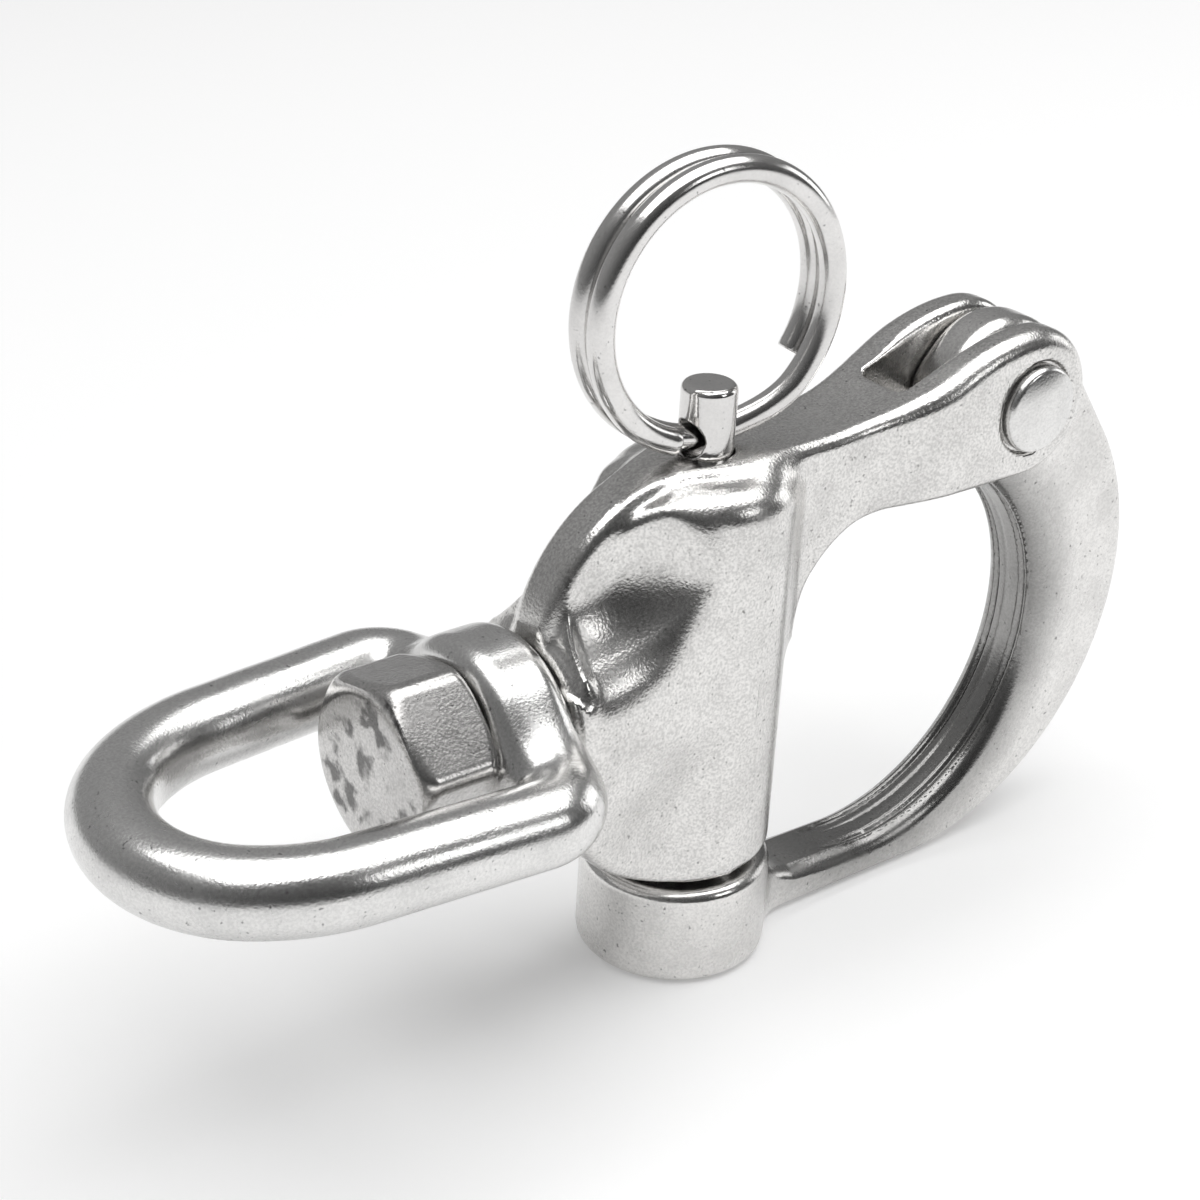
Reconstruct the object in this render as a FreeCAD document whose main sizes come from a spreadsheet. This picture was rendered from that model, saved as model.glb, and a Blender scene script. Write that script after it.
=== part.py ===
"""Swivel-eye snap shackle, as a parametric FreeCAD document.

Frame: +X runs along the swivel axis from the eye towards the gate, +Z along the plunger towards its
ring, and the origin is the bearing point inside the crown of the swivel eye. Millimetres.
"""
import FreeCAD, Part
import math
import os
import Sketcher

V = FreeCAD.Vector
AXIS_X = V(1, 0, 0)
AXIS_Y = V(0, 1, 0)
AXIS_Z = V(0, 0, 1)
UPRIGHT = FreeCAD.Rotation(AXIS_X, 90)       # sketch x, y become X, Z
FLAT = FreeCAD.Rotation()                    # sketch x, y become X, Y
ACROSS = FreeCAD.Rotation(V(1, 1, 1), 120)   # sketch x, y become Y, Z

doc = FreeCAD.newDocument("SnapShackle")

# ---------------------------------------------------------------- driving dimensions
SIZES = {
    # swivel eye
    "eye_wire": 5.6,                # diameter of the bar
    "eye_tip_radius": 8.6,          # crown, on the bar's centre line
    "eye_shoulder_radius": 14.0,
    "eye_tip_angle": 55.0,          # half the arc of the crown
    "eye_leg_taper": 4.8,           # each leg leans out towards the boss
    "eye_corner_radius": 3.1,
    "eye_roll": 2.4,                # the eye stands turned a little on its bolt
    "eye_boss_radius": 7.0,
    "eye_boss_round": 1.1,
    "eye_boss_start": 20.3,
    "eye_boss_length": 5.6,
    # swivel bolt
    "bolt_head_flats": 11.8,
    "bolt_head_turn": 15.0,         # about the bolt's own axis
    "bolt_head_start": 13.9,
    "bolt_head_length": 6.2,
    "bolt_shank": 6.0,
    "bolt_end": 34.2,
    "head_crown": 0.75,             # chamfer at the corners of the head
    "running_fit": 0.08,            # radial clearance of turning and sliding parts
    # casting
    "tail_face": 26.2,
    "barrel_radius": 6.3,
    "plunger_x": 40.4,
    "column_radius": 6.5,
    "column_foot": -14.1,
    "column_top": 15.3,
    "column_foot_round": 1.2,
    "column_top_round": 2.4,
    "body_top": 16.1,               # dome_z + dome_radius
    "hinge_x": 66.7,
    "hinge_z": 15.0,
    "ear_radius": 5.55,
    "ear_half_width": 5.15,
    "slot_half_width": 2.15,
    "dome_radius": 12.35,           # back of the casting, from the tail up to the top
    "dome_x": 38.2,
    "dome_z": 3.75,
    "rim_step": 0.8,                # how far the rim stands out from the block inside it
    "block_tail_z": -6.6,           # foot of the tail face
    "block_belly_radius": 17.0,     # from the tail down to the column
    "block_foot_x": 38.5,
    "block_half": 6.2,
    "block_shoulder": 9.0,          # the sides lean in to the rim from here
    "block_round": 9.0,
    "spine_half": 1.9,
    "spine_end": 34.0,              # the rim widens into the arm from here
    "arm_half": 3.6,
    "arm_corner_x": 54.6,           # where the arm's underside turns down into the column
    "arm_corner_drop": 7.8,
    "arm_corner_radius": 8.0,
    "arm_corner_inset": 0.2,        # the arm runs out this far inside the column
    "flare_start": 51.0,            # the arm widens from here
    "flare_end": 60.0,              # to the full width of the fork here
    "rise_start": 48.0,             # the top climbs from here in a hollow curve
    "crest_x": 59.6,                # and over a crest to the ears from here
    "crest_z": 18.9,
    "slot_end": 55.6,               # blind end of the fork's slot, at the top
    "slot_lean": 3.8,
    "slot_rise": 8.0,               # the slot is cut this far above the hinge
    "slot_reach": 12.0,             # and this far below and beyond it
    "dish_radius": 10.7,
    "dish_x": 28.0,
    "dish_y": 12.2,
    "dish_floor": 3.0,
    "dish_round": 8.5,              # between the upright wall of the dish and its floor
    "dish_wall": 1.3,               # left standing behind the tail face
    "low_dish_radius": 12.0,
    "low_dish_x": 34.5,
    "low_dish_y": 17.1,
    "low_dish_z": -8.8,
    # gate
    "knuckle_half_width": 2.03,
    "knuckle_radius": 5.45,
    "gate_half_width": 2.8,
    "gate_back_radius": 20.2,
    "gate_back_x": 61.7,
    "gate_back_z": -2.05,
    "gate_throat_radius": 15.3,
    "gate_throat_x": 57.2,
    "gate_throat_z": -4.1,
    "gate_foot": -22.25,
    "throat_end_x": 62.9,           # the throat meets the hinge knuckle here
    "throat_end_z": 10.15,
    "heel_x": 50.0,                 # and runs out to the boss through these two corners
    "heel_z": -19.2,
    "toe_x": 43.0,
    "toe_z": -17.0,
    "neck_x": 78.2,                 # the back leaves its arc here, up to the shoulder
    "neck_z": 9.6,
    "shoulder_x": 72.5,
    "shoulder_z": 17.5,
    "knuckle_crown_x": 67.0,
    "knuckle_crown_radius": 7.0,
    "knuckle_root_x": 68.0,         # the knuckle runs into the jaw between here
    "knuckle_root_z": 6.8,
    "knuckle_back_x": 74.0,         # and here
    "knuckle_back_low": 8.0,
    "knuckle_back_high": 15.9,
    "ear_clearance": 0.6,           # between the ears and the thick part of the jaw
    "relief_length": 10.0,          # clears the end of the arm
    "relief_height": 12.0,
    "relief_overlap": 0.5,          # past the hinge axis
    "gate_boss_radius": 6.8,
    "gate_boss_top": -14.7,
    "gate_boss_round": 0.8,
    "socket_depth": 4.2,
    "socket_fit": 0.15,
    # hinge rivet
    "rivet_shank": 4.0,
    "rivet_head_radius": 3.2,
    "rivet_head_height": 1.7,
    "rivet_sink": 0.5,
    "rivet_dome_radius": 9.0,
    "rivet_head_gap": 0.25,
    "rivet_hole_fit": 0.01,
    # plunger and its spring
    "pin_radius": 3.1,
    "pin_tip": -18.2,
    "pin_shoulder": -3.0,
    "pin_chamfer": 0.6,
    "stem_radius": 1.9,
    "stem_top": 20.8,
    "stem_round": 0.45,
    "eyelet_z": 17.15,
    "eyelet_radius": 1.3,
    "spring_wire": 0.7,
    "spring_radius": 2.52,
    "spring_top": 9.0,
    "spring_turns": 8.0,
    # split ring
    "ring_wire": 1.84,
    "ring_radius": 9.13,
    "ring_shift": -0.45,            # the ring hangs a little off the plunger's axis
    "ring_yaw": -4.0,
    "ring_coil_offset": 0.98,
    "ring_start_angle": -33.0,      # cut end of the far coil, seen from -Y
    "ring_end_angle": 612.0,        # cut end of the near coil
    "ring_hold_angle": 9.0,
    "ring_cross_angle": 38.0,
    # cutting tools
    "through": 20.0,                # longer than any piece is wide
}
sheet = doc.addObject("Spreadsheet::Sheet", "Sizes")
for row, (alias, size) in enumerate(SIZES.items(), start=1):
    sheet.set("A%d" % row, alias)
    sheet.set("B%d" % row, str(size))
    sheet.setAlias("B%d" % row, alias)
doc.recompute()


def size(expression):
    """The number that an expression in the sheet's own aliases stands for."""
    return float(sheet.evalExpression(expression))


def linked(expression):
    """The same expression as another object of the document writes it."""
    words = []
    word = ""
    for letter in expression + " ":
        if letter.isalnum() or letter == "_":
            word += letter
            continue
        words.append("Sizes." + word if word in SIZES else word)
        words.append(letter)
        word = ""
    return "".join(words).strip()


def bind(item, **expressions):
    """Bind properties of a document object to the sheet."""
    for name, expression in expressions.items():
        item.setExpression(name.replace("__", "."), linked(expression))


# ---------------------------------------------------------------- outlines
def arc_between(start, end, radius, side):
    """The shorter arc from start to end, whose centre lies to the left (side 1) or right (-1)."""
    chord = end - start
    middle = (start + end) * 0.5
    rise = math.sqrt(max(radius ** 2 - (chord.Length / 2) ** 2, 0.0))
    normal = V(-chord.y, chord.x, 0).normalize()
    centre = middle + normal * (rise * side)
    first = math.atan2(start.y - centre.y, start.x - centre.x)
    last = math.atan2(end.y - centre.y, end.x - centre.x)
    circle = Part.Circle(centre, AXIS_Z, radius)
    if side > 0:
        return Part.ArcOfCircle(circle, first, last)
    return Part.ArcOfCircle(circle, last, first)


def outline(name, steps, rotation=UPRIGHT, closed=True):
    """A sketch through steps: (x, y) ends a straight line, (x, y, radius, side) an arc."""
    sketch = doc.addObject("Sketcher::SketchObject", name)
    sketch.Placement = FreeCAD.Placement(V(), rotation)
    corners = [V(size(step[0]), size(step[1]), 0) for step in steps]
    count = len(steps)
    edges = []
    for index in range(count if closed else count - 1):
        step = steps[(index + 1) % count]
        start = corners[index]
        end = corners[(index + 1) % count]
        if len(step) == 2:
            edges.append((sketch.addGeometry(Part.LineSegment(start, end)), 1, 2))
            continue
        shape = arc_between(start, end, size(step[2]), step[3])
        ends = (1, 2) if step[3] > 0 else (2, 1)
        edges.append((sketch.addGeometry(shape), ends[0], ends[1]))
        radius = sketch.addConstraint(Sketcher.Constraint("Radius", edges[-1][0], size(step[2])))
        sketch.setExpression("Constraints[%d]" % radius, linked(step[2]))
    for index, (edge, first, last) in enumerate(edges):
        for kind, axis in (("DistanceX", 0), ("DistanceY", 1)):
            where = steps[index][axis]
            fixed = sketch.addConstraint(Sketcher.Constraint(kind, edge, first, corners[index][axis]))
            sketch.setExpression("Constraints[%d]" % fixed, linked(where))
        following = edges[(index + 1) % len(edges)]
        if closed or index + 1 < len(edges):
            sketch.addConstraint(Sketcher.Constraint("Coincident", edge, last, following[0], following[1]))
    if not closed:
        edge, first, last = edges[-1]
        for kind, axis in (("DistanceX", 0), ("DistanceY", 1)):
            fixed = sketch.addConstraint(Sketcher.Constraint(kind, edge, last, corners[-1][axis]))
            sketch.setExpression("Constraints[%d]" % fixed, linked(steps[-1][axis]))
    return sketch


def extrusion(name, sketch, direction, length, symmetric=True):
    """A solid made by drawing a sketch out along a direction."""
    solid = doc.addObject("Part::Extrusion", name)
    solid.Base = sketch
    solid.DirMode = "Custom"
    solid.Dir = direction
    solid.Solid = True
    solid.Symmetric = symmetric
    bind(solid, LengthFwd=length)
    return solid


# ---------------------------------------------------------------- solids
def cylinder(name, radius, length, place, axis=AXIS_Z):
    """A cylinder that starts at place, three expressions, and runs along axis."""
    solid = doc.addObject("Part::Cylinder", name)
    solid.Placement = FreeCAD.Placement(V(), FreeCAD.Rotation(AXIS_Z, axis))
    bind(solid, Radius=radius, Height=length, Placement__Base__x=place[0],
         Placement__Base__y=place[1], Placement__Base__z=place[2])
    return solid


def sphere(name, radius, place):
    """A ball about place, three expressions."""
    solid = doc.addObject("Part::Sphere", name)
    bind(solid, Radius=radius, Placement__Base__x=place[0], Placement__Base__y=place[1],
         Placement__Base__z=place[2])
    return solid


def box(name, lengths, place):
    """A box whose low corner is at place."""
    solid = doc.addObject("Part::Box", name)
    bind(solid, Length=lengths[0], Width=lengths[1], Height=lengths[2], Placement__Base__x=place[0],
         Placement__Base__y=place[1], Placement__Base__z=place[2])
    return solid


def fuse(name, *parts):
    joined = doc.addObject("Part::MultiFuse", name)
    joined.Shapes = list(parts)
    joined.Refine = True
    return joined


def common(name, *parts):
    shared = doc.addObject("Part::MultiCommon", name)
    shared.Shapes = list(parts)
    return shared


def cut(name, base, *tools):
    """Base less every tool."""
    tool = tools[0] if len(tools) == 1 else fuse(name + "_tools", *tools)
    rest = doc.addObject("Part::Cut", name)
    rest.Base = base
    rest.Tool = tool
    rest.Refine = True
    return rest


def fillet(name, base, radius, chosen):
    """Round the edges of base for which chosen(edge) is true."""
    doc.recompute()
    edges = [index for index, edge in enumerate(base.Shape.Edges, start=1) if chosen(edge)]
    rounded = doc.addObject("Part::Fillet", name)
    rounded.Base = base
    rounded.Edges = [(index, size(radius), size(radius)) for index in edges]
    doc.recompute()
    return rounded


def node(label, item):
    """Name the document object that is a finished piece."""
    item.Label = label
    return item


def rim_at(edge, above=-math.inf, below=math.inf):
    """True for a full circle whose height lies between above and below."""
    return edge.Closed and above < edge.valueAt(edge.FirstParameter).z < below


# ---------------------------------------------------------------- the casting
def casting_spine():
    """The rim, arm and ears: a side outline trimmed to a plan that widens towards the fork."""
    shoulder = "dome_z + sqrt(dome_radius ^ 2 - (dome_x - tail_face) ^ 2)"
    rise = "((crest_x - rise_start) ^ 2 + (crest_z - body_top) ^ 2) / (2 * (crest_z - body_top))"
    ear_top = "(hinge_z + ear_radius)"
    crest = "((hinge_x - crest_x) ^ 2 + (%s - crest_z) ^ 2) / (2 * (%s - crest_z))" % (ear_top, ear_top)
    side = outline("SpineSide", [
        ("tail_face", "0"),
        ("tail_face", shoulder),
        ("dome_x", "body_top", "dome_radius", -1),
        ("rise_start", "body_top"),
        ("crest_x", "crest_z", rise, 1),
        ("hinge_x", ear_top, crest, -1),
        ("hinge_x + ear_radius", "hinge_z", "ear_radius", -1),
        ("hinge_x", "hinge_z - ear_radius", "ear_radius", -1),
        ("arm_corner_x", "hinge_z - ear_radius"),
        ("plunger_x + column_radius - arm_corner_inset", "hinge_z - ear_radius - arm_corner_drop",
         "arm_corner_radius", 1),
        ("plunger_x", "0"),
    ])
    widening = "(ear_half_width - arm_half)"
    middle = ("(flare_start + flare_end) / 2", "(ear_half_width + arm_half) / 2")
    flare = "((flare_end - flare_start) ^ 2 + %s ^ 2) / (4 * %s)" % (widening, widening)
    end = "hinge_x + ear_radius + 1"
    plan = outline("SpinePlan", [
        ("tail_face - 1", "-spine_half"),
        ("spine_end", "-spine_half"),
        ("plunger_x", "-arm_half"),
        ("flare_start", "-arm_half"),
        (middle[0], "-" + middle[1], flare, -1),
        ("flare_end", "-ear_half_width", flare, 1),
        (end, "-ear_half_width"),
        (end, "ear_half_width"),
        ("flare_end", "ear_half_width"),
        (middle[0], middle[1], flare, 1),
        ("flare_start", "arm_half", flare, -1),
        ("plunger_x", "arm_half"),
        ("spine_end", "spine_half"),
        ("tail_face - 1", "spine_half"),
    ], rotation=FLAT)
    side_solid = extrusion("SpineSideSolid", side, AXIS_Y, "through")
    plan_solid = extrusion("SpinePlanSolid", plan, AXIS_Z, "3 * through")
    return common("Spine", side_solid, plan_solid)


def casting_block():
    """The housing of the swivel bolt, with a tall dish and a shallow one sunk into each side."""
    side = outline("BlockSide", [
        ("tail_face", "block_tail_z", "block_belly_radius", -1),
        ("tail_face", "dome_z"),
        ("dome_x - dome_radius + rim_step", "dome_z"),
        ("dome_x", "dome_z + dome_radius - rim_step", "dome_radius - rim_step", -1),
        ("plunger_x", "dome_z + dome_radius - rim_step"),
        ("plunger_x", "column_foot"),
        ("block_foot_x", "column_foot"),
    ])
    section = outline("BlockSection", [
        ("-block_half", "column_foot"),
        ("block_half", "column_foot"),
        ("block_half", "block_shoulder"),
        ("arm_half - 1", "dome_z + dome_radius", "block_round", 1),
        ("1 - arm_half", "dome_z + dome_radius"),
        ("-block_half", "block_shoulder", "block_round", 1),
    ], rotation=ACROSS)
    solid = common("BlockSolid", extrusion("BlockLong", side, AXIS_Y, "2 * block_half"),
                   extrusion("BlockWide", section, AXIS_X, "plunger_x", symmetric=False))
    barrel = cylinder("Barrel", "barrel_radius", "plunger_x - tail_face", ("tail_face", "0", "0"), AXIS_X)
    limit = outline("DishLimit", [
        ("tail_face + dish_wall", "column_foot"),
        ("plunger_x", "column_foot"),
        ("plunger_x", "dome_z + dome_radius"),
        ("tail_face + dish_wall", "dome_z + dome_radius"),
    ])
    room = extrusion("DishRoom", limit, AXIS_Y, "2 * through")
    tools = []
    for name, hand in (("Near", "-"), ("Far", "")):
        middle = ("dish_x", hand + "dish_y", "dish_floor")
        upright = cylinder("DishUpright" + name, "dish_radius", "through", middle)
        rounded = fillet("DishRound" + name, upright, "dish_round",
                         lambda edge: rim_at(edge, below=size("dish_floor + dish_round")))
        tools.append(common("Dish" + name, rounded, room))
        low = ("low_dish_x", hand + "low_dish_y", "low_dish_z")
        tools.append(sphere("LowDish" + name, "low_dish_radius", low))
    return cut("Block", fuse("BlockAndBarrel", solid, barrel), *tools)


def casting():
    """The body casting: barrel and column with the rim, arm and fork, then every hole."""
    column = cylinder("Column", "column_radius", "column_top - column_foot",
                      ("plunger_x", "0", "column_foot"))
    column = fillet("ColumnFootRound", column, "column_foot_round", lambda edge: rim_at(edge, below=0))
    column = fillet("ColumnTopRound", column, "column_top_round", lambda edge: rim_at(edge, above=0))
    blank = fuse("CastingBlank", casting_spine(), casting_block(), column)
    slot = outline("SlotSide", [
        ("slot_end - slot_lean / 4", "hinge_z + slot_rise"),
        ("slot_end + slot_lean", "hinge_z - slot_reach"),
        ("hinge_x + slot_reach", "hinge_z - slot_reach"),
        ("hinge_x + slot_reach", "hinge_z + slot_rise"),
    ])
    holes = [
        extrusion("Slot", slot, AXIS_Y, "2 * slot_half_width"),
        cylinder("PlungerBore", "pin_radius + running_fit", "spring_top - column_foot + 1",
                 ("plunger_x", "0", "column_foot - 1")),
        cylinder("StemHole", "stem_radius + running_fit", "through", ("plunger_x", "0", "0")),
        cylinder("BoltHole", "bolt_shank / 2 + running_fit", "bolt_end - tail_face + 1.3",
                 ("tail_face - 1", "0", "0"), AXIS_X),
        cylinder("RivetHole", "rivet_shank / 2 + rivet_hole_fit", "through",
                 ("hinge_x", "-through / 2", "hinge_z"), AXIS_Y),
        cylinder("SinkNear", "rivet_head_radius + rivet_head_gap", "through",
                 ("hinge_x", "-ear_half_width - through + rivet_sink", "hinge_z"), AXIS_Y),
        cylinder("SinkFar", "rivet_head_radius + rivet_head_gap", "through",
                 ("hinge_x", "ear_half_width - rivet_sink", "hinge_z"), AXIS_Y),
    ]
    return node("casting", cut("Casting", blank, *holes))


# ---------------------------------------------------------------- the gate
def gate():
    """The curved jaw: hinge knuckle at the top, boss with the plunger's socket at the foot."""
    side = outline("GateSide", [
        ("throat_end_x", "throat_end_z"),
        ("gate_throat_x + gate_throat_radius", "gate_throat_z", "gate_throat_radius", -1),
        ("gate_throat_x", "gate_throat_z - gate_throat_radius", "gate_throat_radius", -1),
        ("heel_x", "heel_z"),
        ("toe_x", "toe_z"),
        ("toe_x", "gate_foot"),
        ("gate_back_x", "gate_foot"),
        ("gate_back_x + gate_back_radius", "gate_back_z", "gate_back_radius", 1),
        ("neck_x", "neck_z", "gate_back_radius", 1),
        ("shoulder_x", "shoulder_z"),
        ("knuckle_crown_x", "hinge_z + knuckle_radius", "knuckle_crown_radius", 1),
        ("hinge_x", "hinge_z + knuckle_radius"),
        ("hinge_x - knuckle_radius", "hinge_z", "knuckle_radius", 1),
    ])
    thick = extrusion("GateThick", side, AXIS_Y, "2 * gate_half_width")
    relief = cylinder("EarRelief", "ear_radius + ear_clearance", "through",
                      ("hinge_x", "-through / 2", "hinge_z"), AXIS_Y)
    under_arm = box("ArmRelief", ("relief_length", "through", "relief_height"),
                    ("hinge_x + relief_overlap - relief_length", "-through / 2",
                     "hinge_z - ear_radius - ear_clearance"))
    jaw = cut("Jaw", thick, relief, under_arm)
    knuckle_side = outline("KnuckleSide", [
        ("throat_end_x", "throat_end_z"),
        ("knuckle_root_x", "knuckle_root_z", "gate_throat_radius", -1),
        ("knuckle_back_x", "knuckle_back_low"),
        ("knuckle_back_x", "knuckle_back_high"),
        ("shoulder_x", "shoulder_z"),
        ("knuckle_crown_x", "hinge_z + knuckle_radius", "knuckle_crown_radius", 1),
        ("hinge_x", "hinge_z + knuckle_radius"),
        ("hinge_x - knuckle_radius", "hinge_z", "knuckle_radius", 1),
    ])
    knuckle = extrusion("Knuckle", knuckle_side, AXIS_Y, "2 * knuckle_half_width")
    boss = cylinder("GateBoss", "gate_boss_radius", "gate_boss_top - gate_foot",
                    ("plunger_x", "0", "gate_foot"))
    boss = fillet("GateBossRound", boss, "gate_boss_round", rim_at)
    blank = fuse("GateBlank", jaw, knuckle, boss)
    socket = cylinder("Socket", "pin_radius + socket_fit", "socket_depth + 1",
                      ("plunger_x", "0", "gate_boss_top - socket_depth"))
    pin_hole = cylinder("KnuckleHole", "rivet_shank / 2 + running_fit", "through",
                        ("hinge_x", "-through / 2", "hinge_z"), AXIS_Y)
    return node("gate", cut("Gate", blank, socket, pin_hole))


# ---------------------------------------------------------------- turned pieces
def turned(name, steps, axis, base, rotation=UPRIGHT):
    """A solid turned about an axis from a half outline that touches it."""
    sketch = outline(name + "Outline", steps, rotation)
    solid = doc.addObject("Part::Revolution", name)
    solid.Source = sketch
    solid.Axis = axis
    solid.Solid = True
    solid.Angle = 360
    for part, expression in zip("xyz", base):
        solid.setExpression("Base." + part, linked(expression))
    return solid


def hinge_rivet():
    """The hinge pin, domed over at both ends."""
    seat = "(ear_half_width - rivet_sink)"
    tip = seat + " + rivet_head_height"
    rim = tip + " - rivet_dome_radius + sqrt(rivet_dome_radius ^ 2 - rivet_head_radius ^ 2)"
    shank = "hinge_x + rivet_shank / 2"
    head = "hinge_x + rivet_head_radius"
    steps = [
        ("hinge_x", "-(%s)" % tip),
        (head, "-(%s)" % rim, "rivet_dome_radius", 1),
        (head, "-" + seat),
        (shank, "-" + seat),
        (shank, seat),
        (head, seat),
        (head, rim),
        ("hinge_x", tip, "rivet_dome_radius", 1),
    ]
    rivet = turned("Rivet", steps, AXIS_Y, ("hinge_x", "0", "0"), FLAT)
    bind(rivet, Placement__Base__z="hinge_z")
    return node("hinge_rivet", rivet)


def plunger():
    """The release plunger: a thick pin below, a thin stem above with an eyelet for the ring."""
    steps = [
        ("plunger_x", "pin_tip"),
        ("plunger_x + pin_radius - pin_chamfer", "pin_tip"),
        ("plunger_x + pin_radius", "pin_tip + pin_chamfer"),
        ("plunger_x + pin_radius", "pin_shoulder"),
        ("plunger_x + stem_radius", "pin_shoulder"),
        ("plunger_x + stem_radius", "stem_top - stem_round"),
        ("plunger_x + stem_radius - stem_round", "stem_top", "stem_round", 1),
        ("plunger_x", "stem_top"),
    ]
    blank = turned("PlungerBlank", steps, AXIS_Z, ("plunger_x", "0", "0"))
    hole = cylinder("Eyelet", "eyelet_radius", "4 * stem_radius",
                    ("plunger_x - 2 * stem_radius", "0", "eyelet_z"), AXIS_X)
    return node("plunger", cut("Plunger", blank, hole))


def swivel_bolt():
    """The hex-headed bolt that holds the eye to the casting."""
    prism = doc.addObject("Part::Prism", "HexPrism")
    prism.Polygon = 6
    turn = FreeCAD.Rotation(AXIS_X, size("bolt_head_turn"))
    prism.Placement = FreeCAD.Placement(V(), turn.multiply(FreeCAD.Rotation(AXIS_Y, 90)))
    bind(prism, Circumradius="bolt_head_flats / sqrt(3)", Height="bolt_head_length",
         Placement__Base__x="bolt_head_start")
    rim = "bolt_head_flats / 2"
    corner = "bolt_head_flats / sqrt(3) + 0.3"
    start = "bolt_head_start"
    end = "bolt_head_start + bolt_head_length"
    barrel = turned("HexRound", [
        (start, "0"),
        (end, "0"),
        (end, rim),
        (end + " - head_crown", corner),
        (start + " + head_crown", corner),
        (start, rim),
    ], AXIS_X, ("0", "0", "0"))
    head = common("HexHead", prism, barrel)
    shank = cylinder("BoltShank", "bolt_shank / 2", "bolt_end - bolt_head_start - 1",
                     ("bolt_head_start + 1", "0", "0"), AXIS_X)
    return node("swivel_bolt", fuse("SwivelBolt", head, shank))


# ---------------------------------------------------------------- bent pieces
def swept(name, path, radius):
    """A round bar of the given radius along a wire."""
    start = path.OrderedEdges[0]
    tangent = start.tangentAt(start.FirstParameter)
    if start.Orientation == "Reversed":
        tangent = start.tangentAt(start.LastParameter).negative()
        place = start.valueAt(start.LastParameter)
    else:
        place = start.valueAt(start.FirstParameter)
    section = Part.Wire([Part.makeCircle(radius, place, tangent)])
    item = doc.addObject("Part::Feature", name)
    item.Shape = path.makePipeShell([section], True, False)
    return item


def eye_path():
    """Centre line of the eye: crown, shoulders, leaning legs, corners and the bar across the boss."""
    wire = size("eye_wire")
    tip = size("eye_tip_radius")
    shoulder = size("eye_shoulder_radius")
    half_arc = math.radians(size("eye_tip_angle"))
    lean = math.radians(size("eye_leg_taper"))
    corner = size("eye_corner_radius")
    bar_x = size("eye_boss_start + eye_boss_length / 2")
    tip_x = tip - wire / 2
    crown = V(-wire / 2, 0, 0)
    tip_end = V(tip_x - tip * math.cos(half_arc), tip * math.sin(half_arc), 0)
    middle = V(tip_x + (shoulder - tip) * math.cos(half_arc), -(shoulder - tip) * math.sin(half_arc), 0)
    shoulder_end = middle + V(-math.sin(lean), math.cos(lean), 0) * shoulder
    angle = (math.pi - half_arc + math.pi / 2 + lean) / 2
    shoulder_mid = middle + V(math.cos(angle), math.sin(angle), 0) * shoulder
    # the corner arc turns from the leaning leg to the bar, which runs along Y
    corner_x = bar_x - corner
    run = (corner_x - corner * math.sin(lean) - shoulder_end.x) / math.cos(lean)
    leg_end = shoulder_end + V(math.cos(lean), math.sin(lean), 0) * run
    centre = leg_end + V(math.sin(lean), -math.cos(lean), 0) * corner
    bar_end = centre + V(corner, 0, 0)
    turn = (math.pi / 2 + lean) / 2
    corner_mid = centre + V(math.cos(turn), math.sin(turn), 0) * corner
    near = [
        Part.Arc(crown, V(tip_x - tip * math.cos(half_arc / 2), tip * math.sin(half_arc / 2), 0), tip_end),
        Part.Arc(tip_end, shoulder_mid, shoulder_end),
        Part.LineSegment(shoulder_end, leg_end),
        Part.Arc(leg_end, corner_mid, bar_end),
        Part.LineSegment(bar_end, V(bar_end.x, 0, 0)),
    ]
    edges = [curve.toShape() for curve in near]
    edges += [edge.mirror(V(), AXIS_Y) for edge in edges]
    return Part.Wire(Part.__sortEdges__(edges))


def swivel_eye():
    """The bail: a bar bent to a long eye and cast in one with a bored boss."""
    bail = swept("EyeBail", eye_path(), size("eye_wire") / 2)
    boss = cylinder("EyeBoss", "eye_boss_radius", "eye_boss_length", ("eye_boss_start", "0", "0"), AXIS_X)
    boss = fillet("EyeBossRound", boss, "eye_boss_round", rim_at)
    bore = cylinder("EyeBore", "bolt_shank / 2 + running_fit", "3 * eye_boss_length",
                    ("eye_boss_start - eye_boss_length", "0", "0"), AXIS_X)
    keep = box("EyeEnd", ("3 * through", "3 * through", "through"),
               ("eye_boss_start + eye_boss_length - 3 * through", "-1.5 * through", "-through / 2"))
    blank = common("EyeTrimmed", fuse("EyeBlank", bail, boss), keep)
    eye = cut("SwivelEye", blank, bore)
    eye.Placement = FreeCAD.Placement(V(), FreeCAD.Rotation(AXIS_X, size("eye_roll")))
    return node("swivel_eye", eye)


def split_ring():
    """A hardened ring of two coils lying side by side, which pass through the eyelet one at a time."""
    radius = size("ring_radius")
    offset = size("ring_coil_offset")
    centre = V(size("plunger_x"), 0, size("eyelet_z") + radius)
    first = math.radians(size("ring_start_angle"))
    last = math.radians(size("ring_end_angle"))
    crossing = math.radians(270)
    span = math.radians(size("ring_cross_angle"))
    hold = math.radians(size("ring_hold_angle"))
    yaw = FreeCAD.Rotation(AXIS_Z, size("ring_yaw"))
    points = []
    count = 90
    for index in range(count + 1):
        angle = first + (last - first) * index / count
        away = max(abs(angle - crossing) - hold, 0.0) / span
        ease = min(away, 1.0)
        ease = ease * ease * (3 - 2 * ease)
        shift = offset * ease * (1 if angle < crossing else -1)
        spoke = V(radius * math.cos(angle) + size("ring_shift"), shift, radius * math.sin(angle))
        points.append(centre + yaw.multVec(spoke))
    curve = Part.BSplineCurve()
    curve.interpolate(points)
    path = Part.Wire([curve.toShape()])
    return node("split_ring", swept("SplitRing", path, size("ring_wire") / 2))


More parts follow.
